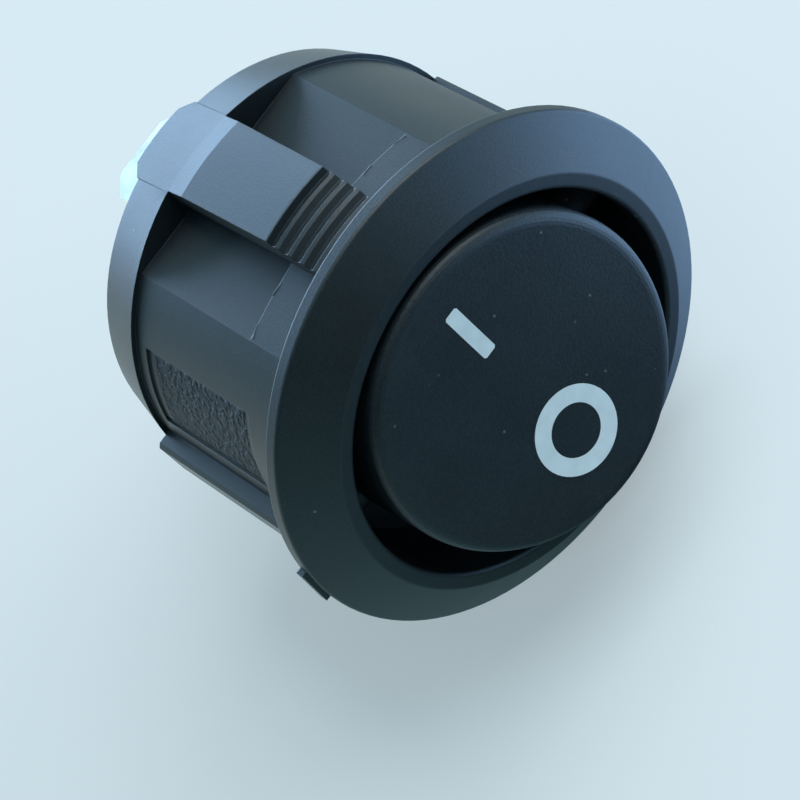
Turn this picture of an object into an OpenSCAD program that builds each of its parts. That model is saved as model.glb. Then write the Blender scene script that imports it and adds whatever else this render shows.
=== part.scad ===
// Round snap-in panel rocker switch, single pole, two tab terminals.
// Origin: on the barrel's axis, in the plane where the bezel meets the panel.
// The rocker faces -Y, the terminals point to +Y and the ON end of the rocker is at +Z.
// The pieces are drawn with the axis upright (front = +Z, ON end = +Y) and laid over by in_panel().

/* [Panel and bezel] */
// Diameter of the round panel hole
panel_hole_d = 20; // [19:0.1:22]
// Clearance between the rear rim and the hole's edge
hole_clear = 0.05; // [0.02:0.01:0.15]
// How far the bezel reaches past the hole's edge
bezel_overhang = 1.5; // [1:0.1:3]
// Height of the bezel's crest above the panel
bezel_h = 2.1; // [1.5:0.1:3]
// Height of the bezel's outer edge, below the slope
bezel_edge_h = 0.65; // [0.4:0.05:1]
// Width of the flat crest round the opening
crest_band = 0.75; // [0.5:0.05:1.2]
// Rounding of the bezel's edges
bezel_round = 0.2; // [0.1:0.05:0.3]
// Width of the small locating nub on the bezel's edge
nub_w = 2.1; // [1:0.1:3]
// Angle from the key rib to the middle of the nub, towards the latch
nub_angle = 3; // [0:0.5:10]
// How far the locating nub stands out of the bezel's edge
nub_proud = 0.2; // [0.1:0.05:0.5]
// Height of the locating nub
nub_h = 0.42; // [0.3:0.02:0.6]

/* [Barrel] */
// How far the barrel lies inside the rear rim
barrel_step = 0.25; // [0.1:0.05:0.4]
// Wall between the barrel's outside and the rocker's well
barrel_wall = 1.1; // [1:0.05:1.4]
// Depth of the barrel behind the panel's front face
barrel_l = 14.2; // [12.6:0.1:18]
// Length of the conical rear rim
rim_l = 2.9; // [2:0.1:3.4]
// How far the rim's radius falls towards the rear
rim_taper = 0.65; // [0.3:0.05:1]
// Thickness of the rear floor
floor_t = 1.6; // [1.2:0.1:2]
// Depth of the rocker's well below the panel's front face
well_depth = 2.6; // [2.5:0.05:3]
// Wall between the flats under the latches and the switch chamber
chamber_wall = 1.2; // [0.9:0.05:1.5]
// Thinnest wall at the chamber's corners
corner_wall = 0.95; // [0.8:0.05:1.2]
// Bevel of the chamber's corners
corner_bevel = 0.8; // [0.3:0.1:1.5]

/* [Latches] */
// Width of each latch arm at its root
latch_w = 4; // [3:0.1:5]
// How much narrower each latch arm is at its front end
latch_taper = 0.25; // [0:0.05:0.5]
// Thickness of a latch arm at its root
latch_t = 0.9; // [0.7:0.05:1.1]
// How far the latch's step stands out past the hole's edge
latch_proud = 0.72; // [0.4:0.02:0.9]
// Gap between the bezel and the latch's front end
latch_gap = 1.3; // [0.8:0.1:2]
// Length of the latch's ribbed ramp
ramp_l = 2.7; // [2:0.1:3.5]
// Number of ribs on the ramp
ramp_ribs = 4; // [3:1:6]
// Depth of the grooves between the ribs
rib_depth = 0.2; // [0.1:0.02:0.3]
// Thickness of the latch's front end
latch_end_t = 0.5; // [0.4:0.05:0.6]
// Length of the steeper stretch at the latch's root
root_l = 1.2; // [0.6:0.1:2]
// How far the latch rises along that stretch
root_rise = 0.32; // [0.1:0.02:0.5]
// Depth of the flat under each latch
flat_depth = 1.6; // [1.4:0.05:1.8]
// Depth of the shallower relief under the ribs
relief_depth = 0.75; // [0.5:0.05:0.9]
// Distance from the bezel to the step between relief and flat
relief_l = 3.8; // [2:0.1:4]
// Gap between the bezel and the relief's front end
relief_gap = 0.45; // [0.2:0.05:0.8]
// Width of the pad behind each latch, which carries its slope past the rim
pad_w = 4.1; // [3:0.1:5]
// How far the pads reach behind the barrel's rear face
pad_out = 0.5; // [0.2:0.1:1]
// Bevel of the pads' rear corners
pad_bevel = 0.6; // [0.2:0.1:1]

/* [Label recess] */
// Angle from the latch to the middle of the bare label recess
label_angle = 64; // [50:1:66]
// Width of the recess round the barrel, in degrees
label_width = 24; // [16:1:36]
// Distance from the bezel to the recess
label_gap = 3.5; // [2:0.1:6]
// Distance from the recess to the rear rim
label_rear_gap = 0.7; // [0.4:0.1:3]
// Depth of the recess
label_depth = 0.12; // [0.05:0.01:0.2]

/* [Key ribs] */
// Width of the key ribs
key_w = 2.4; // [1.5:0.1:3]
// Height of the tall key rib
key_h = 0.8; // [0.5:0.05:1.2]
// Height of the low key rib on the far side
low_key_h = 0.35; // [0.2:0.05:0.6]
// Distance from the bezel to the low key rib's front end
low_key_gap = 4.3; // [1:0.1:6]

/* [Rocker] */
// Gap between the rocker and the opening, at the pivot
rocker_gap = 1.3; // [1.1:0.05:1.6]
// Height of the face's centre above the panel
face_h = 3.6; // [3:0.1:4]
// Radius of the face's hollow
dish_r = 55; // [40:1:120]
// Rounding of the face's edge
rocker_round = 0.6; // [0.3:0.05:0.8]
// Thickness of the rocker's wall and top
rocker_wall = 1.2; // [0.9:0.05:1.5]
// Angle between the rocker's two positions, in degrees
rocker_angle = 25; // [20:0.5:28]
// Running clearance between the rocker's skirt and the well's floor
skirt_clear = 0.2; // [0.1:0.05:0.3]
// Thickness of the ribs inside the rocker
inner_rib_t = 1; // [0.7:0.1:1.4]

/* [Pivot] */
// Depth of the pivot's axis below the panel's front face
pivot_depth = 2; // [1.8:0.05:2.2]
// Diameter of the pivot pins
pivot_d = 2.2; // [1.6:0.1:2.4]
// Radial clearance of the pins in their bores
pivot_clear = 0.05; // [0.02:0.01:0.1]
// How far the pins reach into the barrel's wall
pivot_bite = 0.6; // [0.4:0.05:0.8]
// Wall of the lug around each pin
lug_wall = 0.5; // [0.3:0.05:0.7]
// Clearance around the lugs
lug_clear = 0.3; // [0.2:0.05:0.4]
// Depth of the lead-in grooves for the pins
groove_depth = 0.35; // [0.2:0.05:0.5]
// Distance from the bezel's crest to the grooves' front end
groove_gap = 0.9; // [0.5:0.05:1.2]

/* [Plunger] */
// Diameter of the plunger
plunger_d = 3; // [2.6:0.1:3.2]
// Radial clearance of the plunger in its tube
plunger_clear = 0.05; // [0.02:0.01:0.1]
// Wall of the plunger's tube
tube_wall = 0.8; // [0.6:0.05:1]
// Diameter of the plunger's nose
nose_d = 2; // [1.6:0.1:2.2]
// Length of the plunger's nose
nose_l = 2.1; // [1.8:0.1:2.5]
// Length of the cone between nose and shank
nose_cone_l = 0.6; // [0.3:0.1:1]
// Length of the plunger's shank
shank_l = 3.6; // [3:0.1:4]
// How far the shank stays out of its tube when pushed in
shank_out = 0.9; // [0.5:0.1:1.4]
// Length of the spigot that centres the spring
spigot_l = 0.8; // [0.4:0.1:1.2]
// How far the plunger can be pushed in
plunger_travel = 0.8; // [0.5:0.05:1]
// Wire of the plunger's spring
spring_wire = 0.3; // [0.2:0.02:0.36]
// Turns of the plunger's spring
spring_turns = 6; // [4:1:8]
// Clearance of the spring's coil in its bore
spring_clear = 0.12; // [0.05:0.01:0.2]

/* [Contact lever] */
// Height of the fulcrum above the barrel's floor
fulcrum_h = 2.66; // [2.5:0.01:3.5]
// Thickness of the contact lever
lever_t = 0.5; // [0.4:0.05:0.6]
// Width of the contact lever
lever_w = 3.6; // [3:0.1:3.8]
// Upward angle of the lever's two wings
wing_angle = 10; // [9:0.5:12]
// Angle between the lever's two positions, in degrees
lever_swing = 13; // [10:0.5:14]
// Distance from the fulcrum to the contact
contact_arm = 4.7; // [4.5:0.1:4.8]
// Length of the wing without a contact
short_wing = 3.2; // [2.8:0.1:4]
// How far the lever reaches past its contact's centre
long_wing_end = 0.7; // [0.5:0.05:0.9]
// Bevel of the lever's corners
lever_bevel = 0.5; // [0.2:0.1:0.8]
// Diameter of the contact rivets' heads
contact_d = 2; // [1.6:0.1:2.1]
// Height of the contact rivets' heads
contact_h = 0.45; // [0.3:0.05:0.5]
// Diameter of the contact rivets' shanks
contact_shank_d = 1.1; // [0.8:0.1:1.2]
// Clearance between the plunger's tip and the lever's valley
tip_clear = 0.1; // [0.08:0.01:0.2]
// Clearance between the lever and its fulcrum
fulcrum_clear = 0.03; // [0.02:0.01:0.06]
// Gap between the closed contacts
contact_gap = 0.03; // [0.02:0.01:0.06]

/* [Terminals] */
// Width of the tabs
tab_w = 4.8; // [4:0.1:5]
// Thickness of the tabs
tab_t = 0.8; // [0.6:0.1:1]
// Length of the tabs behind the barrel
tab_l = 6.2; // [5:0.1:9]
// Distance between the two tabs
tab_pitch = 8; // [7.6:0.1:8.4]
// Diameter of the hole in each tab
tab_hole_d = 1.4; // [1.2:0.1:1.8]
// Distance from the tab's tip to its hole
tab_hole_inset = 2.6; // [2.2:0.1:3.2]
// Bevel of the tab's tip
tab_bevel = 0.9; // [0.5:0.1:1.2]
// Clearance of the tabs in their slots
slot_clear = 0.05; // [0.03:0.01:0.1]
// Inner radius of the folds
fold_r = 0.3; // [0.2:0.05:0.5]
// Width of the ears that hold the lever
ear_w = 0.45; // [0.35:0.05:0.5]
// Height of those ears above the fulcrum
ear_h = 1; // [0.8:0.1:1.4]
// How far the load terminal's shoulders stand out beside its tab
shoulder = 0.4; // [0.2:0.05:0.6]
// How far the load terminal's shelf reaches past its contact
shelf_margin = 0.35; // [0.2:0.05:0.6]

/* [Marks] */
// Distance of the ON mark from the face's centre
mark_on_offset = 3.85; // [3:0.05:4]
// Distance of the OFF mark from the face's centre
mark_off_offset = 3.45; // [3:0.05:4]
// Length of the ON mark's bar
bar_l = 2.9; // [2:0.1:3.4]
// Width of the ON mark's bar
bar_w = 0.7; // [0.5:0.05:1]
// Outer diameter of the OFF mark's ring
ring_d = 4; // [3:0.1:4.4]
// Inner diameter of the OFF mark's ring
ring_hole_d = 2.4; // [1.8:0.1:2.8]
// Depth of the marks in the face
mark_depth = 0.12; // [0.08:0.02:0.2]
// How far the marks stand proud of the face
mark_proud = 0.015; // [0.01:0.005:0.03]

/* [Hidden] */
// Overlap of joined shapes, how deep added ones reach in, and how far cuts run past a face
e = 0.01;
bite = 0.3;
over = 1;

hole_r = panel_hole_d / 2;
bezel_r = hole_r + bezel_overhang;
rim_r = hole_r - hole_clear;
barrel_r = rim_r - barrel_step;
well_r = barrel_r - barrel_wall;
crest_r = well_r + crest_band;
rim_z = rim_l - barrel_l;
floor_z = floor_t - barrel_l;

flat_y = barrel_r - flat_depth;
flat_x = sqrt(barrel_r * barrel_r - flat_y * flat_y);
relief_y = barrel_r - relief_depth;
relief_rise = relief_y - flat_y;
relief_r = (flat_x * flat_x + relief_rise * relief_rise) / (2 * relief_rise);
chamber_y = flat_y - chamber_wall;
chamber_x = sqrt(pow(barrel_r - corner_wall, 2) - chamber_y * chamber_y);

rocker_r = well_r - rocker_gap;
half_throw = rocker_angle / 2;
pivot_z = -pivot_depth;
pivot_r = pivot_d / 2;
lug_r = pivot_r + lug_wall;
face_z = face_h - pivot_z;
skirt_z = -(well_depth + pivot_z - skirt_clear) / cos(half_throw);
plate_z = face_z - rocker_wall;
bore_r = plunger_d / 2 + plunger_clear;
tube_r = bore_r + tube_wall;

fulcrum_z = floor_z + fulcrum_h;
hinge_z = fulcrum_z + fulcrum_clear;
valley_z = hinge_z + lever_t / cos(wing_angle);
rest_slope = wing_angle - lever_swing / 2;
contact_y = -contact_arm * cos(rest_slope);
low_corner = (contact_arm - contact_d / 2) * sin(rest_slope) - contact_h * cos(rest_slope);
contact_z = hinge_z + low_corner - contact_gap;
shelf_z = contact_z - contact_h;

plunger_reach = pivot_z - valley_z - tip_clear;
shank_z = nose_l - plunger_reach;
plunger_top = shank_z + shank_l;
tube_z = shank_z + plunger_travel + shank_out;
spring_top = face_z - 2 * rocker_wall;

tab_y = tab_pitch / 2;
tip_z = -barrel_l - tab_l;

function arc(cx, cy, r, a0, a1, n = 5) =
    [for (i = [0:n]) let (a = a0 + (a1 - a0) * i / n) [cx + r * cos(a), cy + r * sin(a)]];

// Lays the upright model over into the panel's frame.
module in_panel() { rotate([90, 0, 0]) children(); }

// Extrudes a profile drawn in (y, z) along x, centred.
module along_x(w) { rotate([90, 0, 90]) linear_extrude(w, center = true) children(); }

// Extrudes a profile drawn in (x, z) along y, centred.
module along_y(w) { rotate([90, 0, 0]) linear_extrude(w, center = true) children(); }

// Both of a mirrored pair.
module both(axis) {
    children();
    mirror(axis) children();
}

// The rocker's own frame: origin on the pivot, tilted to the ON position.
module rocker_frame() { translate([0, 0, pivot_z]) rotate([-half_throw, 0, 0]) children(); }

// The lever's own frame: origin on the fulcrum, tilted to the closed position.
module lever_frame() { translate([0, 0, hinge_z]) rotate([lever_swing / 2, 0, 0]) children(); }

// ---- housing ----

module bezel_and_rim() {
    // Angle of the bezel's slope
    slope = atan2(bezel_h - bezel_edge_h, bezel_r - crest_r);
    rotate_extrude($fn = 180)
        polygon(concat(
            [[0, -barrel_l], [rim_r - rim_taper - bezel_round, -barrel_l],
             [rim_r - rim_taper, bezel_round - barrel_l], [rim_r, rim_z], [barrel_r, rim_z], [barrel_r, 0]],
            arc(bezel_r - bezel_round / 2, bezel_round / 2, bezel_round / 2, -90, 0, 3),
            arc(bezel_r - bezel_round, bezel_edge_h - bezel_round / 2, bezel_round, 0, 90 - slope, 4),
            arc(crest_r - bezel_round / 2, bezel_h - bezel_round, bezel_round, 90 - slope, 90, 4),
            [[0, bezel_h]]));
}

// Flat under a latch, with a shallower curved relief under the ribs.
module latch_relief() {
    span = barrel_r + bezel_overhang;
    translate([-span / 2, flat_y, rim_z]) cube([span, span, -relief_l - rim_z]);
    difference() {
        translate([-flat_x, flat_y, -relief_l - e]) cube([2 * flat_x, span, relief_l - relief_gap + e]);
        translate([0, relief_y - relief_r, -barrel_l]) cylinder(r = relief_r, h = 2 * barrel_l, $fn = 180);
    }
}

// Latch arm: rises from the rim, steps down and falls back along a ribbed ramp.
module latch() {
    step_z = -latch_gap - ramp_l;
    end_w = latch_w - latch_taper;
    step_r = hole_r + latch_proud;
    pitch = ramp_l / ramp_ribs;
    ramp_r = step_r - rib_depth / 2;
    fall = (ramp_r - hole_r) / ramp_ribs;
    ramp = [for (i = [0:ramp_ribs - 1]) each [
        [ramp_r - rib_depth - fall * i, step_z + pitch * (i + 0.2)],
        [ramp_r - fall * (i + 0.4), step_z + pitch * (i + 0.65)],
        [ramp_r - fall * (i + 0.7), step_z + pitch * (i + 0.9)]]];
    intersection() {
        rotate_extrude($fn = 180)
            polygon(concat(
                [[rim_r - latch_t, rim_z - rim_l / 2], [rim_r - rim_taper / 2, rim_z - rim_l / 2],
                 [rim_r, rim_z], [rim_r + root_rise, rim_z + root_l], [step_r, step_z - bezel_round / 2], [step_r, step_z]],
                ramp,
                [[hole_r - rib_depth, -latch_gap], [hole_r - latch_end_t, -latch_gap]]));
        translate([0, hole_r, 0])
            along_y(hole_r)
                polygon([[-latch_w / 2, -barrel_l], [latch_w / 2, -barrel_l], [latch_w / 2, rim_z],
                         [end_w / 2, -latch_gap + e], [-end_w / 2, -latch_gap + e], [-latch_w / 2, rim_z]]);
    }
}

// Pad behind a latch: the rim's cone carried on past the rear face.
module rim_pad() {
    slope = rim_taper / rim_l;
    rear_z = -barrel_l - pad_out;
    rear_r = rim_r - slope * (rim_l + pad_out);
    intersection() {
        rotate_extrude($fn = 180)
            polygon([[rear_r - latch_t, rear_z], [rear_r, rear_z], [rim_r, rim_z], [rim_r - latch_t, rim_z]]);
        translate([0, hole_r - latch_t, 0])
            along_y(2 * latch_t)
                polygon([[-pad_w / 2, rim_z - e], [pad_w / 2, rim_z - e],
                         [pad_w / 2, rear_z + pad_bevel], [pad_w / 2 - pad_bevel, rear_z],
                         [pad_bevel - pad_w / 2, rear_z], [-pad_w / 2, rear_z + pad_bevel]]);
    }
}

// Key rib along the barrel at -x, from the rim to a front end at z = front.
module key_rib(height, front) {
    bevel = height / 4;
    outer = barrel_r + height;
    translate([0, 0, rim_z - e])
        linear_extrude(front - rim_z + e)
            polygon([[bite - barrel_r, -key_w / 2], [bevel - outer, -key_w / 2], [-outer, bevel - key_w / 2],
                     [-outer, key_w / 2 - bevel], [bevel - outer, key_w / 2], [bite - barrel_r, key_w / 2]]);
}

// Bare recess for a label, on the latch's side of the tall key rib.
module label_recess() {
    front_z = -label_gap;
    rear_z = rim_z + label_rear_gap;
    rotate([0, 0, 90 + label_angle - label_width / 2])
        rotate_extrude(angle = label_width, $fn = 180)
            translate([barrel_r - label_depth, rear_z]) square([label_depth + over, front_z - rear_z]);
}

// Round well for the rocker, with a rounded lip.
module well() {
    rotate_extrude($fn = 180)
        polygon(concat([[0, -well_depth], [well_r, -well_depth]],
            arc(well_r + bezel_round, bezel_h - bezel_round, bezel_round, 180, 90, 4),
            [[well_r + bezel_round, bezel_h + over], [0, bezel_h + over]]));
}

// Switch chamber below the well.
module chamber() {
    translate([0, 0, floor_z])
        linear_extrude(-floor_z)
            polygon([for (q = [[1, 1], [-1, 1], [-1, -1], [1, -1]])
                each let (a = [q[0] * chamber_x, q[1] * (chamber_y - corner_bevel)],
                          b = [q[0] * (chamber_x - corner_bevel), q[1] * chamber_y])
                    q[0] * q[1] > 0 ? [a, b] : [b, a]]);
}

// Bore, lug pocket and lead-in groove for one pivot pin, at +x.
module pivot_cut() {
    pin_end = well_r + pivot_bite;
    translate([0, 0, pivot_z]) rotate([0, 90, 0]) {
        cylinder(r = pivot_r + pivot_clear, h = pin_end + 2 * pivot_clear, $fn = 64);
        translate([0, 0, chamber_x - lug_wall])
            cylinder(r = lug_r + lug_clear, h = well_r - pivot_clear - chamber_x + lug_wall, $fn = 64);
    }
    translate([chamber_x, -pivot_r, pivot_z])
        cube([well_r + groove_depth - chamber_x, pivot_d, bezel_h - groove_gap - pivot_z]);
}

module housing() {
    color([0.10, 0.11, 0.12]) in_panel() difference() {
        union() {
            difference() {
                bezel_and_rim();
                both([0, 1, 0]) latch_relief();
            }
            both([0, 1, 0]) {
                latch();
                rim_pad();
            }
            key_rib(key_h, e);
            mirror([1, 0, 0]) key_rib(low_key_h, -low_key_gap);
            rotate([0, 0, -nub_angle])
                translate([-bezel_r - nub_proud, -nub_w / 2, 0]) cube([nub_proud + bite, nub_w, nub_h]);
        }
        well();
        chamber();
        both([1, 0, 0]) pivot_cut();
        label_recess();
        both([0, 1, 0])
            translate([-tab_w / 2 - slot_clear, tab_y - tab_t / 2 - slot_clear, -barrel_l - over])
                cube([tab_w + 2 * slot_clear, tab_t + 2 * slot_clear, barrel_l]);
    }
}

// ---- rocker ----

// Height of the hollow face above its centre.
function dish(y) = dish_r - sqrt(dish_r * dish_r - y * y);

// Outer skin of the rocker: hollow face, rounded edge and straight skirt.
module rocker_skin() {
    sides = 96;
    face_steps = 6;
    edge_steps = 6;
    flat_r = rocker_r - rocker_round;
    rings = concat(
        [for (i = [1:face_steps]) [flat_r * i / face_steps, 0]],
        [for (i = [1:edge_steps]) let (a = 90 * i / edge_steps)
            [flat_r + rocker_round * sin(a), rocker_round * (1 - cos(a))]],
        [[rocker_r, -1]]);
    base_z = -lug_r;
    pts = concat(
        [[0, 0, face_z]],
        [for (ring = rings) for (k = [0:sides - 1])
            let (a = 360 * k / sides, x = ring[0] * cos(a), y = ring[0] * sin(a))
                [x, y, ring[1] < 0 ? base_z : face_z + dish(y) - ring[1]]],
        [[0, 0, base_z]]);
    last = len(pts) - 1;
    rows = len(rings);
    faces = concat(
        [for (k = [0:sides - 1]) [0, 1 + (k + 1) % sides, 1 + k]],
        [for (r = [0:rows - 2]) for (k = [0:sides - 1])
            let (a = 1 + r * sides + k, b = 1 + r * sides + (k + 1) % sides)
                each [[a, b, b + sides], [a, b + sides, a + sides]]],
        [for (k = [0:sides - 1])
            [last, 1 + (rows - 1) * sides + k, 1 + (rows - 1) * sides + (k + 1) % sides]]);
    polyhedron(pts, faces);
}

// Space below the rocker's two slanted undersides.
module underside() {
    reach = 2 * rocker_r;
    fall = reach * tan(half_throw);
    along_x(4 * rocker_r)
        polygon([[0, skirt_z], [reach, skirt_z + fall], [reach, -reach], [-reach, -reach], [-reach, skirt_z + fall]]);
}

// Outline of the ON mark.
module bar_outline() {
    bevel = bar_w / 8;
    translate([0, mark_on_offset])
        polygon([for (q = [[1, 1], [-1, 1], [-1, -1], [1, -1]])
            each let (a = [q[0] * bar_w / 2, q[1] * (bar_l / 2 - bevel)],
                      b = [q[0] * (bar_w / 2 - bevel), q[1] * bar_l / 2])
                q[0] * q[1] > 0 ? [a, b] : [b, a]]);
}

// Outline of the OFF mark.
module ring_outline() {
    translate([0, -mark_off_offset]) difference() {
        circle(d = ring_d, $fn = 72);
        circle(d = ring_hole_d, $fn = 72);
    }
}

// The outline's column, down to mark_depth below the hollow face.
module mark_cut() {
    intersection() {
        translate([0, 0, face_z - rocker_wall]) linear_extrude(3 * rocker_wall) children();
        translate([0, 0, face_z + dish_r]) rotate([0, 90, 0])
            cylinder(r = dish_r + mark_depth, h = 2 * rocker_r, center = true, $fn = 360);
    }
}

module mark() {
    difference() {
        mark_cut() children();
        translate([0, 0, face_z + dish_r]) rotate([0, 90, 0])
            cylinder(r = dish_r - mark_proud, h = 3 * rocker_r, center = true, $fn = 360);
    }
}

module rocker() {
    color([0.09, 0.10, 0.11]) in_panel() rocker_frame() {
        difference() {
            rocker_skin();
            difference() {
                translate([0, 0, -2 * rocker_r])
                    cylinder(r = rocker_r - rocker_wall, h = plate_z + 2 * rocker_r, $fn = 96);
                cylinder(r = tube_r, h = 4 * rocker_r, center = true, $fn = 64);
                cube([2 * rocker_r, inner_rib_t, 4 * rocker_r], center = true);
                both([1, 0, 0]) translate([chamber_x, 0, 0]) rotate([0, 90, 0]) {
                    cylinder(r = lug_r, h = rocker_r, $fn = 64);
                }
            }
            difference() {
                underside();
                rotate([0, 90, 0]) cylinder(r = lug_r, h = 4 * rocker_r, center = true, $fn = 64);
                cylinder(r = tube_r, h = 4 * rocker_r, center = true, $fn = 64);
            }
            difference() {
                translate([0, 0, -rocker_r]) cube([2 * chamber_x, 4 * rocker_r, 2 * (rocker_r + skirt_z)], center = true);
                cylinder(r = tube_r, h = 4 * rocker_r, center = true, $fn = 64);
            }
            translate([0, 0, -rocker_r]) cylinder(r = bore_r, h = rocker_r + spring_top, $fn = 64);
            mark_cut() bar_outline();
            mark_cut() ring_outline();
        }
        difference() {
            translate([0, 0, tube_z]) cylinder(r = tube_r, h = -lug_r - tube_z + e, $fn = 64);
            translate([0, 0, -2 * rocker_r]) cylinder(r = bore_r, h = 2 * rocker_r, $fn = 64);
        }
        both([1, 0, 0]) translate([rocker_r - bite, 0, 0]) rotate([0, 90, 0])
            cylinder(r = pivot_r, h = well_r + pivot_bite - rocker_r + bite, $fn = 64);
    }
}

module mark_on() { color([0.93, 0.95, 0.96]) in_panel() rocker_frame() mark() bar_outline(); }

module mark_off() { color([0.93, 0.95, 0.96]) in_panel() rocker_frame() mark() ring_outline(); }

// ---- plunger and spring ----

module plunger() {
    nose_r = nose_d / 2;
    spigot_r = bore_r - spring_clear - 2 * spring_wire;
    spigot_top = plunger_top + spigot_l;
    color([0.90, 0.88, 0.80]) in_panel() rocker_frame()
        rotate_extrude($fn = 64)
            polygon(concat(
                arc(0, nose_r - plunger_reach, nose_r, -90, 0, 8),
                [[nose_r, shank_z - nose_cone_l], [plunger_d / 2, shank_z], [plunger_d / 2, plunger_top],
                 [spigot_r, plunger_top], [spigot_r, spigot_top], [0, spigot_top]]));
}

// Coil spring: one tube swept along a helix, its ends closed.
module plunger_spring() {
    sides = 8;
    per_turn = 20;
    wire_r = spring_wire / 2;
    coil_r = bore_r - wire_r - spring_clear;
    low = plunger_top + wire_r + 2 * e;
    high = spring_top - wire_r - 2 * e;
    rings = spring_turns * per_turn;
    pts = [for (i = [0:rings]) let (a = 360 * i / per_turn, z = low + (high - low) * i / rings)
        for (k = [0:sides - 1]) let (b = 360 * k / sides, r = coil_r + wire_r * cos(b))
            [r * cos(a), r * sin(a), z + wire_r * sin(b)]];
    faces = concat(
        [[for (k = [sides - 1:-1:0]) k]],
        [for (i = [0:rings - 1]) for (k = [0:sides - 1])
            let (a = i * sides + k, b = i * sides + (k + 1) % sides)
                each [[a, b + sides, a + sides], [a, b, b + sides]]],
        [[for (k = [0:sides - 1]) rings * sides + k]]);
    color([0.75, 0.76, 0.78]) in_panel() rocker_frame() polyhedron(pts, faces);
}

// ---- contact lever ----

module contact_lever() {
    rise = tan(wing_angle);
    thick = lever_t / cos(wing_angle);
    long_end = -contact_arm - long_wing_end;
    color([0.80, 0.55, 0.38]) in_panel() lever_frame() difference() {
        intersection() {
            along_x(lever_w)
                polygon([[0, 0], [short_wing, short_wing * rise], [short_wing, short_wing * rise + thick],
                         [0, thick], [long_end, thick - long_end * rise], [long_end, -long_end * rise]]);
            translate([0, 0, -contact_arm]) linear_extrude(2 * contact_arm)
                polygon([for (q = [[1, short_wing], [-1, short_wing], [-1, long_end], [1, long_end]])
                    each let (s = sign(q[1]),
                              a = [q[0] * lever_w / 2, q[1] - s * lever_bevel],
                              b = [q[0] * (lever_w / 2 - lever_bevel), q[1]])
                        q[0] * s > 0 ? [a, b] : [b, a]]);
        }
        on_long_wing() cylinder(d = contact_shank_d, h = 4 * lever_t, center = true, $fn = 48);
    }
}

// Place of the moving contact: on the underside of the lever's long wing.
module on_long_wing() { rotate([-wing_angle, 0, 0]) translate([0, -contact_arm, 0]) children(); }

module moving_contact() {
    color([0.86, 0.87, 0.88]) in_panel() lever_frame() on_long_wing() {
        translate([0, 0, -contact_h]) cylinder(d = contact_d, h = contact_h, $fn = 48);
        cylinder(d = contact_shank_d, h = lever_t, $fn = 48);
        translate([0, 0, lever_t]) cylinder(d1 = contact_d * 0.85, d2 = contact_d * 0.6, h = contact_h / 2, $fn = 48);
    }
}

// ---- terminals ----

// Fixed contact: a rivet in the load terminal's shelf.
module fixed_contact() {
    color([0.86, 0.87, 0.88]) in_panel() translate([0, contact_y, shelf_z]) {
        cylinder(d = contact_d, h = contact_h, $fn = 48);
        translate([0, 0, -tab_t / 2]) cylinder(d = contact_shank_d, h = tab_t / 2 + e, $fn = 48);
    }
}

// Outline of a tab below the floor, in (x, z).
module tab_outline() {
    polygon([[-tab_w / 2, floor_z + tab_t / 2], [tab_w / 2, floor_z + tab_t / 2],
             [tab_w / 2, tip_z + tab_bevel], [tab_w / 2 - tab_bevel, tip_z],
             [tab_bevel - tab_w / 2, tip_z], [-tab_w / 2, tip_z + tab_bevel]]);
}

module tab() {
    difference() {
        along_y(tab_t) tab_outline();
        translate([0, 0, tip_z + tab_hole_inset]) rotate([90, 0, 0])
            cylinder(d = tab_hole_d, h = 2 * tab_t, center = true, $fn = 48);
    }
}

// Common terminal: tab, shelf on the floor and an upstand that carries the lever.
module common_terminal() {
    out_r = fold_r + tab_t;
    half = tab_t / 2;
    top = fulcrum_z + ear_h;
    notch_w = tab_w - 2 * ear_w;
    color([0.83, 0.82, 0.78]) in_panel() {
        translate([0, tab_y, 0]) tab();
        difference() {
            along_x(tab_w)
                polygon(concat(
                    [[tab_y + half, floor_z]],
                    arc(tab_y + half - fold_r, floor_z + tab_t - fold_r, fold_r, 0, 90, 4),
                    arc(half + fold_r, floor_z + tab_t + fold_r, fold_r, 270, 180, 4),
                    [[half, top], [-half, top]],
                    arc(-half + out_r, floor_z + out_r, out_r, 180, 270, 5)));
            translate([-notch_w / 2, -tab_t, fulcrum_z]) cube([notch_w, 2 * tab_t, 2 * ear_h]);
        }
    }
}

// Load terminal: tab, shoulders on the floor and a shelf for the fixed contact.
module load_terminal() {
    half = tab_t / 2;
    out_r = fold_r + tab_t;
    shelf_end = contact_y - contact_d / 2 - shelf_margin;
    color([0.83, 0.82, 0.78]) in_panel() difference() {
        union() {
            translate([0, -tab_y, 0]) tab();
            along_x(tab_w + 2 * shoulder)
                polygon(concat(
                    [[half - tab_y, floor_z]],
                    arc(half - tab_y - out_r, shelf_z - out_r, out_r, 0, 90, 5),
                    [[shelf_end, shelf_z], [shelf_end, shelf_z - tab_t]],
                    arc(-half - tab_y - fold_r, shelf_z - tab_t - fold_r, fold_r, 90, 0, 4),
                    [[-half - tab_y, floor_z]]));
        }
        translate([0, contact_y, shelf_z - tab_t / 2]) cylinder(d = contact_shank_d, h = tab_t, $fn = 48);
    }
}

housing();
rocker();
mark_on();
mark_off();
plunger();
plunger_spring();
contact_lever();
moving_contact();
fixed_contact();
common_terminal();
load_terminal();
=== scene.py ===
"""Looks of the round panel rocker switch: materials, small moulding marks, stage, light and camera."""
import math

import bpy
from mathutils import Matrix, Vector
from mathutils.bvhtree import BVHTree


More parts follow.
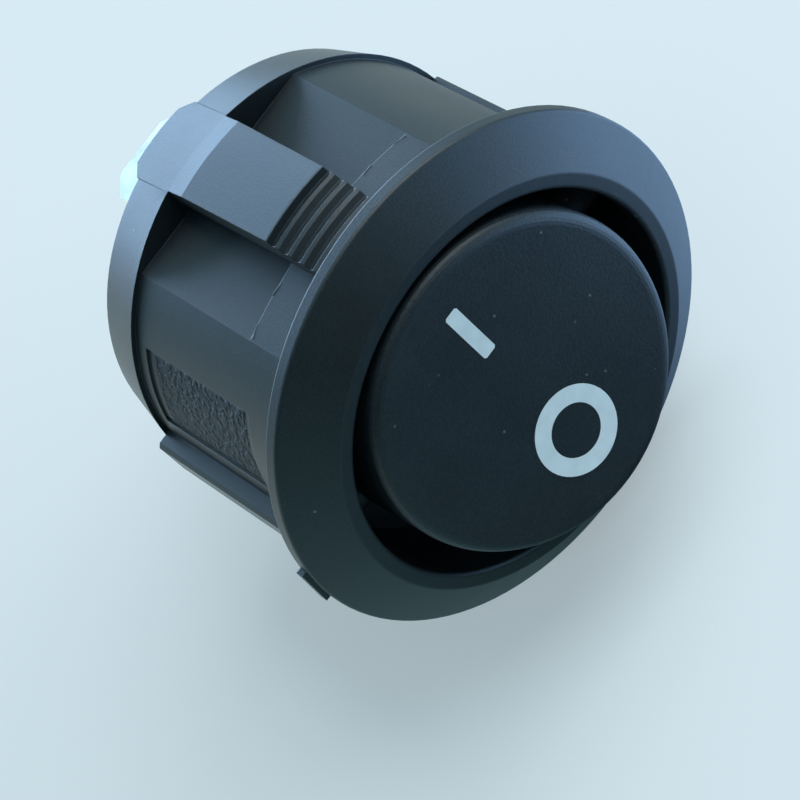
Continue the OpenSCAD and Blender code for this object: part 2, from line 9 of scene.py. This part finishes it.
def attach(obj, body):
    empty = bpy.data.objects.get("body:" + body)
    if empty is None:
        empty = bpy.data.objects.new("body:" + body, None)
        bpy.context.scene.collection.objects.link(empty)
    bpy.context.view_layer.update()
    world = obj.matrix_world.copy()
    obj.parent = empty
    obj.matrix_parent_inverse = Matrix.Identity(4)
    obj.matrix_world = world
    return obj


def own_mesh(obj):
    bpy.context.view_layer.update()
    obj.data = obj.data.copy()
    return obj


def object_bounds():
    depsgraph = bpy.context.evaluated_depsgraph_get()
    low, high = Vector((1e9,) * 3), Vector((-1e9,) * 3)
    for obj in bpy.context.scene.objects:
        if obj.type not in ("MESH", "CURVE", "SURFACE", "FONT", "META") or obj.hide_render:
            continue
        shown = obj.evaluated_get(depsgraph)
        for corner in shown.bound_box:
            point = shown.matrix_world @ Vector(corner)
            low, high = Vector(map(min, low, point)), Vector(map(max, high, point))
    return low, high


MM = 0.001

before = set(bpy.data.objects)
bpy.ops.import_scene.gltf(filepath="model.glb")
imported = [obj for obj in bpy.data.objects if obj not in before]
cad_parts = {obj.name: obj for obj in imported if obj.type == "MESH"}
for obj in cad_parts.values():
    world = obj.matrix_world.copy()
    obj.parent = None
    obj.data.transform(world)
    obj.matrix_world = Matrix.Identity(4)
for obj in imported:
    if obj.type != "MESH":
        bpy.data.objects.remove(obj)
cad_box = [list(corner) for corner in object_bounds()]


# ---- node helpers ----
# Each takes a material's nodes and link function, and gives back an output socket.

def new_material(name):
    """A new node material: (material, nodes, link function, shader, output)."""
    mat = bpy.data.materials.new(name)
    mat.use_nodes = True
    tree = mat.node_tree
    shader = tree.nodes["Principled BSDF"]
    return mat, tree.nodes, tree.links.new, shader, tree.nodes["Material Output"]


def object_coords(nodes):
    """Place on the piece, in metres; it moves with the piece."""
    return nodes.new("ShaderNodeTexCoord").outputs["Object"]


def noise(nodes, link, coords, scale, detail=4.0, rough=0.5):
    """Noise of that scale, in cycles per metre."""
    node = nodes.new("ShaderNodeTexNoise")
    node.inputs["Scale"].default_value = scale
    node.inputs["Detail"].default_value = detail
    node.inputs["Roughness"].default_value = rough
    link(coords, node.inputs["Vector"])
    return node.outputs["Fac"]


def ramp(nodes, link, value, stops):
    """Colour ramp over (place, colour) stops."""
    node = nodes.new("ShaderNodeValToRGB")
    link(value, node.inputs["Fac"])
    marks = node.color_ramp.elements
    while len(marks) < len(stops):
        marks.new(0.5)
    for mark, (place, colour) in zip(marks, stops):
        mark.position = place
        mark.color = (*colour, 1.0)
    return node.outputs["Color"]


def span(nodes, link, value, low, high, start=0.0, end=1.0):
    """low..high as the value goes from start to end."""
    node = nodes.new("ShaderNodeMapRange")
    node.inputs["From Min"].default_value = start
    node.inputs["From Max"].default_value = end
    node.inputs["To Min"].default_value = low
    node.inputs["To Max"].default_value = high
    link(value, node.inputs["Value"])
    return node.outputs["Result"]


def mix_colour(nodes, link, fac, under, over):
    """under and over are colours or colour sockets."""
    node = nodes.new("ShaderNodeMix")
    node.data_type = "RGBA"
    link(fac, node.inputs["Factor"])
    for value, socket in ((under, node.inputs["A"]), (over, node.inputs["B"])):
        if isinstance(value, tuple):
            socket.default_value = (*value, 1.0)
        else:
            link(value, socket)
    return node.outputs["Result"]


def mix_shader(nodes, link, fac, under, over):
    """under and over are shader sockets."""
    node = nodes.new("ShaderNodeMixShader")
    link(fac, node.inputs["Fac"])
    link(under, node.inputs[1])
    link(over, node.inputs[2])
    return node.outputs["Shader"]


def emission(nodes, link, colour, strength):
    """Glow of a colour socket."""
    node = nodes.new("ShaderNodeEmission")
    link(colour, node.inputs["Color"])
    node.inputs["Strength"].default_value = strength
    return node.outputs["Emission"]


def bump(nodes, link, height, distance, strength, under=None):
    """Normal of that height; under is a normal to start from."""
    node = nodes.new("ShaderNodeBump")
    node.inputs["Distance"].default_value = distance
    node.inputs["Strength"].default_value = strength
    link(height, node.inputs["Height"])
    if under is not None:
        link(under, node.inputs["Normal"])
    return node.outputs["Normal"]


def rounded(nodes, radius):
    """Normal of edges rounded by that radius."""
    node = nodes.new("ShaderNodeBevel")
    node.samples = 8
    node.inputs["Radius"].default_value = radius
    return node.outputs["Normal"]


def times(nodes, link, first, second):
    """Product of two value sockets."""
    node = nodes.new("ShaderNodeMath")
    node.operation = "MULTIPLY"
    link(first, node.inputs[0])
    link(second, node.inputs[1])
    return node.outputs[0]


def times_plus(nodes, link, first, factor, second):
    """first times a number, plus second."""
    node = nodes.new("ShaderNodeMath")
    node.operation = "MULTIPLY_ADD"
    node.inputs[1].default_value = factor
    link(first, node.inputs[0])
    link(second, node.inputs[2])
    return node.outputs[0]


def reach(nodes, link, vector, direction):
    """The vector's reach along a direction."""
    node = nodes.new("ShaderNodeVectorMath")
    node.operation = "DOT_PRODUCT"
    node.inputs[1].default_value = direction
    link(vector, node.inputs[0])
    return node.outputs["Value"]


def along(nodes, link, vector, direction, start, end):
    """0..1 as the vector's reach along a direction goes from start to end."""
    return span(nodes, link, reach(nodes, link, vector, direction), 0.0, 1.0, start, end)


def within(nodes, link, value, low, high, soft):
    """1 where the value lies between low and high, with soft sides."""
    rise = span(nodes, link, value, 0.0, 1.0, low - soft, low + soft)
    fall = span(nodes, link, value, 1.0, 0.0, high - soft, high + soft)
    return times(nodes, link, rise, fall)


# ---- materials ----

LABEL_TURN = math.radians(64.0)  # of the recess, from +Z towards -X
LABEL_HALF_WIDTH = 1.8 * MM
LABEL_FRONT, LABEL_REAR = 3.9 * MM, 10.2 * MM
LABEL_SOFT = 0.1 * MM
LABEL_OUT_FROM, LABEL_OUT_TO = 7.0 * MM, 8.0 * MM  # keeps the far side of the barrel out
LABEL_LUMPS = 3200.0
LABEL_LUMP_HEIGHT = 0.00010
LABEL_MATT = 0.25

FLOW_SCALE = 260.0
GRAIN_HEIGHT = 0.00004
DUST_SCALE = 1500.0
DUST_COLOUR = (0.10, 0.13, 0.14)


def label_mask(nodes, link, coords):
    """1 inside the bare label recess on the barrel."""
    across = (-math.cos(LABEL_TURN), 0.0, -math.sin(LABEL_TURN))
    outward = (-math.sin(LABEL_TURN), 0.0, math.cos(LABEL_TURN))
    wide = within(nodes, link, reach(nodes, link, coords, across),
                  -LABEL_HALF_WIDTH, LABEL_HALF_WIDTH, LABEL_SOFT)
    deep = within(nodes, link, reach(nodes, link, coords, (0.0, 1.0, 0.0)),
                  LABEL_FRONT, LABEL_REAR, LABEL_SOFT)
    side = along(nodes, link, coords, outward, LABEL_OUT_FROM, LABEL_OUT_TO)
    return times(nodes, link, times(nodes, link, wide, deep), side)


def moulded_plastic(name, dark, light, grain, grain_strength, rough, edge, dust, gloss, label=False):
    """Black moulded plastic: spark-eroded grain, faint flow marks, dust specks and uneven gloss.

    grain is in cycles per metre, edge is the radius of its edges, dust the share of specks that show.
    """
    mat, nodes, link, shader, _ = new_material(name)
    coords = object_coords(nodes)
    flow = noise(nodes, link, coords, FLOW_SCALE, 3.0, 0.6)
    fine = noise(nodes, link, coords, grain, 3.0, 0.65)
    mottle = span(nodes, link, fine, 0.0, 1.0, 0.38, 0.62)
    deep = tuple(0.8 * part for part in dark)
    pale = tuple(1.2 * part for part in light)
    base = mix_colour(nodes, link, mottle,
                      ramp(nodes, link, flow, [(0.35, deep), (0.65, dark)]),
                      ramp(nodes, link, flow, [(0.35, light), (0.65, pale)]))

    specks = nodes.new("ShaderNodeTexVoronoi")
    specks.inputs["Scale"].default_value = DUST_SCALE
    specks.inputs["Randomness"].default_value = 1.0
    link(coords, specks.inputs["Vector"])
    near = span(nodes, link, specks.outputs["Distance"], 1.0, 0.0, 0.05, 0.12)
    chosen = span(nodes, link, specks.outputs["Color"], 0.0, 1.0, 1.0 - dust, 1.0 - dust + 0.01)
    dusty = times(nodes, link, near, chosen)
    link(mix_colour(nodes, link, dusty, base, DUST_COLOUR), shader.inputs["Base Color"])

    roughness = span(nodes, link, flow, rough - 0.05, rough + 0.05)
    normal = bump(nodes, link, fine, GRAIN_HEIGHT, grain_strength, rounded(nodes, edge))
    if label:
        mask = label_mask(nodes, link, coords)
        lumps = span(nodes, link, noise(nodes, link, coords, LABEL_LUMPS, 1.0, 0.5),
                     0.0, 1.0, 0.42, 0.58)
        normal = bump(nodes, link, times(nodes, link, lumps, mask), LABEL_LUMP_HEIGHT, 1.0, normal)
        roughness = times_plus(nodes, link, mask, LABEL_MATT, roughness)
    shader.inputs["Specular IOR Level"].default_value = gloss
    link(roughness, shader.inputs["Roughness"])
    link(normal, shader.inputs["Normal"])
    return mat


def painted_mark():
    """Pad-printed white filling of the engraved marks."""
    mat, nodes, link, shader, _ = new_material("mark_paint")
    blotch = noise(nodes, link, object_coords(nodes), 1400.0, 4.0, 0.6)
    link(ramp(nodes, link, blotch, [(0.3, (0.57, 0.72, 0.79)), (0.7, (0.65, 0.80, 0.88))]),
         shader.inputs["Base Color"])
    link(span(nodes, link, blotch, 0.45, 0.65), shader.inputs["Roughness"])
    link(bump(nodes, link, blotch, 0.00003, 0.4), shader.inputs["Normal"])
    return mat


def metal(name, dark, light, rough, lines_along):
    """Stamped or drawn metal with dull patches, and fine lines along axis 0, 1 or 2."""
    mat, nodes, link, shader, _ = new_material(name)
    coords = object_coords(nodes)
    mapping = nodes.new("ShaderNodeMapping")
    stretch = [4000.0, 4000.0, 4000.0]
    stretch[lines_along] = 200.0
    mapping.inputs["Scale"].default_value = stretch
    link(coords, mapping.inputs["Vector"])
    lines = noise(nodes, link, mapping.outputs["Vector"], 1.0, 3.0, 0.6)
    patches = noise(nodes, link, coords, 500.0, 4.0, 0.6)
    link(ramp(nodes, link, patches, [(0.3, dark), (0.7, light)]), shader.inputs["Base Color"])
    shader.inputs["Metallic"].default_value = 1.0
    link(span(nodes, link, patches, rough - 0.08, rough + 0.10), shader.inputs["Roughness"])
    link(bump(nodes, link, lines, 0.00001, 0.5), shader.inputs["Normal"])
    return mat


def nylon():
    """Natural nylon, milky and slightly cloudy."""
    mat, nodes, link, shader, _ = new_material("nylon_natural")
    cloud = noise(nodes, link, object_coords(nodes), 900.0, 4.0, 0.6)
    link(ramp(nodes, link, cloud, [(0.3, (0.72, 0.70, 0.60)), (0.7, (0.82, 0.80, 0.72))]),
         shader.inputs["Base Color"])
    shader.inputs["Subsurface Weight"].default_value = 0.2
    shader.inputs["Subsurface Radius"].default_value = (0.0006, 0.0005, 0.0004)
    link(span(nodes, link, cloud, 0.4, 0.55), shader.inputs["Roughness"])
    link(bump(nodes, link, cloud, 0.00002, 0.3), shader.inputs["Normal"])
    return mat


def flash():
    """Thin flash of the moulding, paler than the plastic round it; the pale colour is partly a painted
    highlight of the step's edge.
    """
    mat, nodes, link, shader, _ = new_material("flash_painted_highlight")
    tone = noise(nodes, link, object_coords(nodes), 1500.0, 3.0, 0.6)
    link(ramp(nodes, link, tone, [(0.35, (0.05, 0.075, 0.09)), (0.65, (0.16, 0.21, 0.24))]),
         shader.inputs["Base Color"])
    link(span(nodes, link, tone, 0.3, 0.5), shader.inputs["Roughness"])
    return mat


MATERIALS = {
    "housing": moulded_plastic(
        "housing_black", dark=(0.005, 0.011, 0.014), light=(0.008, 0.016, 0.020), grain=12000.0,
        grain_strength=0.22, rough=0.47, edge=0.00006, dust=0.12, gloss=0.55, label=True),
    "rocker": moulded_plastic(
        "rocker_black", dark=(0.007, 0.015, 0.019), light=(0.011, 0.019, 0.024), grain=8000.0,
        grain_strength=0.35, rough=0.48, edge=0.00004, dust=0.3, gloss=0.45),
    "mark_on": painted_mark(),
    "plunger": nylon(),
    "plunger_spring": metal("spring_wire", (0.50, 0.51, 0.52), (0.66, 0.67, 0.68), 0.3, 1),
    "contact_lever": metal("lever_copper", (0.66, 0.38, 0.22), (0.80, 0.50, 0.32), 0.35, 2),
    "moving_contact": metal("contact_silver", (0.72, 0.72, 0.70), (0.86, 0.86, 0.85), 0.3, 0),
    "common_terminal": metal("tinned_brass", (0.66, 0.63, 0.57), (0.82, 0.79, 0.73), 0.34, 1),
}
MATERIALS["mark_off"] = MATERIALS["mark_on"]
MATERIALS["fixed_contact"] = MATERIALS["moving_contact"]
MATERIALS["load_terminal"] = MATERIALS["common_terminal"]

for name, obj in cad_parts.items():
    for slot in obj.material_slots:
        slot.material = MATERIALS[name]


# ---- pieces ----

def shorten_spring():
    """Gives the spring, whose end sits in the rocker, its own copy of its mesh; the plunger's stroke is
    0.8 mm.
    """
    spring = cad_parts["plunger_spring"]
    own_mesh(spring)


BEAD_RADIUS = 0.035 * MM
BEAD_Y = 3.72 * MM
BEAD_BOW = 0.12 * MM
BEAD_INNER, BEAD_OUTER = 2.75 * MM, 5.2 * MM
BEAD_POINTS = 14
BEAD_DROP = 1.6  # the blob at its outer end, in radii
CAST_FROM = 12.0 * MM  # outside the barrel


def flash_beads():
    """Thin pale bead of flash where each latch's flat ends, on both sides of the latch; its paleness is
    partly a painted highlight along that step's edge.
    """
    tree = BVHTree.FromObject(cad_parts["housing"], bpy.context.evaluated_depsgraph_get())
    data = bpy.data.curves.new("flash_beads", "CURVE")
    data.dimensions = "3D"
    data.bevel_depth = BEAD_RADIUS
    data.bevel_resolution = 2
    data.use_fill_caps = True
    last = BEAD_POINTS - 1
    for up in (1, -1):
        for side in (1, -1):
            spline = data.splines.new("POLY")
            spline.points.add(last)
            for i, point in enumerate(spline.points):
                part = i / last
                x = side * (BEAD_INNER + (BEAD_OUTER - BEAD_INNER) * part)
                y = BEAD_Y + BEAD_BOW * math.sin(math.pi * part)
                hit = tree.ray_cast(Vector((x, y, up * CAST_FROM)), Vector((0, 0, -up)))[0]
                point.co = (*hit, 1.0)
                swell = 0.5 + 0.5 * math.sin(math.pi * min(1.0, 0.15 + part))
                point.radius = swell if i < last else BEAD_DROP
    obj = bpy.data.objects.new("flash_beads", data)
    bpy.context.scene.collection.objects.link(obj)
    # Pale bead colour: partly a painted highlight of the step's edge.
    data.materials.append(flash())
    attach(obj, "housing")


shorten_spring()
flash_beads()


# ---- stage, light and camera ----

PAPER_BRIGHT = (0.75, 0.87, 0.93)
# Painted shade: the paper's dimmer colour at the left and front.
PAPER_PAINTED_SHADE = (0.67, 0.79, 0.84)
PAPER_OWN = (0.45, 1.0)  # share of its tone that takes no shadow, at the two distances below
PAPER_DISTANCE = (0.05, 0.35)
FLOOR_HALF = 3.0

# What the plastic mirrors; only glossy rays see these colours. The floor's ones are a painted
# reflection: glow, with a painted shadow under the switch and a glow brighter than white at the right.
MIRROR_PAINTED_SHADOW = (0.012, 0.03, 0.04)
MIRROR_PAINTED_LEFT = (0.12, 0.26, 0.30)
MIRROR_PAINTED_BEHIND = (0.48, 0.60, 0.62)
MIRROR_PAINTED_GLOW = (0.9, 1.5, 2.4)
MIRROR_PAINTED_STRENGTH = 2.0
ROOM_DARK = (0.009, 0.014, 0.018)
ROOM_BRIGHT = (0.35, 0.66, 0.85)
ROOM_LIGHT = (0.27, 0.34, 0.37)  # what lights the object


def paper():
    """Pale paper with painted shade that dims it towards the left; mirrored, it is a painted
    reflection, bright behind and at the right.
    """
    mat, nodes, link, shader, output = new_material("floor_paper")
    coords = object_coords(nodes)
    # Painted shade: the paper's colour dims towards the left and front.
    back = along(nodes, link, coords, (0.65, 0.76, 0.0), -0.010, 0.030)
    right = along(nodes, link, coords, (0.76, -0.65, 0.0), -0.006, 0.012)
    tone = mix_colour(nodes, link, right,
                      mix_colour(nodes, link, back, PAPER_PAINTED_SHADE, PAPER_BRIGHT), PAPER_BRIGHT)
    link(tone, shader.inputs["Base Color"])
    shader.inputs["Roughness"].default_value = 0.8
    shader.inputs["Specular IOR Level"].default_value = 0.2

    path = nodes.new("ShaderNodeLightPath")
    away = nodes.new("ShaderNodeVectorMath")
    away.operation = "LENGTH"
    link(coords, away.inputs[0])
    own = span(nodes, link, away.outputs["Value"], *PAPER_OWN, *PAPER_DISTANCE)
    seen = mix_shader(nodes, link, times(nodes, link, path.outputs["Is Camera Ray"], own),
                      shader.outputs["BSDF"], emission(nodes, link, tone, 1.0))

    # Painted reflection for glossy rays: a painted shadow near the switch, lighter to the left and
    # behind, and a glow brighter than white at the right.
    left = along(nodes, link, coords, (-1.0, 0.0, 0.0), -0.002, 0.016)
    behind = along(nodes, link, coords, (-0.35, 0.94, 0.0), -0.002, 0.028)
    aside = times(nodes, link, along(nodes, link, coords, (0.97, 0.25, 0.0), 0.002, 0.030),
                  along(nodes, link, coords, (0.0, -1.0, 0.0), -0.020, -0.004))
    near = mix_colour(nodes, link, left, MIRROR_PAINTED_SHADOW, MIRROR_PAINTED_LEFT)
    far = mix_colour(nodes, link, behind, near, MIRROR_PAINTED_BEHIND)
    mirrored = emission(nodes, link, mix_colour(nodes, link, aside, far, MIRROR_PAINTED_GLOW), MIRROR_PAINTED_STRENGTH)
    link(mix_shader(nodes, link, path.outputs["Is Glossy Ray"], seen, mirrored),
         output.inputs["Surface"])
    return mat


def floor():
    """Pale floor that just touches the bezel's edge, and takes a soft shadow."""
    low_z = cad_box[0][2]
    corners = [(x * FLOOR_HALF, y * FLOOR_HALF, low_z) for x, y in ((-1, -1), (1, -1), (1, 1), (-1, 1))]
    mesh = bpy.data.meshes.new("floor")
    mesh.from_pydata(corners, [], [(0, 1, 2, 3)])
    mesh.materials.append(paper())
    obj = bpy.data.objects.new("floor", mesh)
    bpy.context.scene.collection.objects.link(obj)


def surroundings():
    """Even soft light; mirrored, the room is bright behind and at the right, and dark in front."""
    world = bpy.data.worlds.new("world")
    world.use_nodes = True
    nodes, link = world.node_tree.nodes, world.node_tree.links.new
    direction = nodes.new("ShaderNodeTexCoord").outputs["Generated"]
    lit = along(nodes, link, direction, (0.5, 0.7, 0.3), -0.48, 0.10)
    path = nodes.new("ShaderNodeLightPath")
    light = mix_colour(nodes, link, path.outputs["Is Glossy Ray"], ROOM_LIGHT,
                       mix_colour(nodes, link, lit, ROOM_DARK, ROOM_BRIGHT))
    background = nodes["Background"]
    background.inputs["Strength"].default_value = 1.0
    link(mix_colour(nodes, link, path.outputs["Is Camera Ray"], light, PAPER_BRIGHT),
         background.inputs["Color"])
    bpy.context.scene.world = world


def softbox(name, azimuth, elevation, distance, width, height, radiance, colour):
    """Rectangular lamp facing the object; azimuth turns from +Y towards +X, in degrees."""
    turn, rise = math.radians(azimuth), math.radians(elevation)
    away = Vector((math.sin(turn) * math.cos(rise), math.cos(turn) * math.cos(rise), math.sin(rise)))
    data = bpy.data.lights.new(name, "AREA")
    data.shape = "RECTANGLE"
    data.size = width
    data.size_y = height
    data.energy = radiance * math.pi * width * height
    data.color = colour
    lamp = bpy.data.objects.new(name, data)
    bpy.context.scene.collection.objects.link(lamp)
    lamp.location = away * distance
    lamp.rotation_euler = away.to_track_quat("Z", "Y").to_euler()
    return lamp


def lamps():
    """A low window behind, seen only in gloss, and a key lamp at the right."""
    window = softbox("window", azimuth=2.0, elevation=14.0, distance=0.45, width=0.43, height=0.20,
                     radiance=12.5, colour=(0.45, 0.68, 1.0))
    window.visible_diffuse = False
    softbox("key", azimuth=94.0, elevation=57.0, distance=0.50, width=0.42, height=0.42,
            radiance=3.75, colour=(0.97, 0.99, 1.0))


def camera():
    """Long lens, looking down on the switch, which lies tilted in the picture."""
    place = Vector((-16.953, -83.65, 96.032)) * MM
    forward = Vector((0.10711, 0.66437, -0.73968)).normalized()
    roll = math.radians(46.46)
    level_right = forward.cross(Vector((0, 0, 1))).normalized()
    level_up = level_right.cross(forward)
    up = level_up * math.cos(roll) + level_right * math.sin(roll)
    right = forward.cross(up)
    data = bpy.data.cameras.new("camera")
    data.lens = 138.4
    data.sensor_width = 36.0
    data.clip_start = 0.005
    data.clip_end = 20.0
    cam = bpy.data.objects.new("camera", data)
    bpy.context.scene.collection.objects.link(cam)
    cam.matrix_world = (Matrix.Translation(place)
                        @ Matrix((right, up, -forward)).transposed().to_4x4())
    bpy.context.scene.camera = cam


floor()
lamps()
surroundings()
camera()
bpy.context.scene.view_settings.view_transform = "Standard"
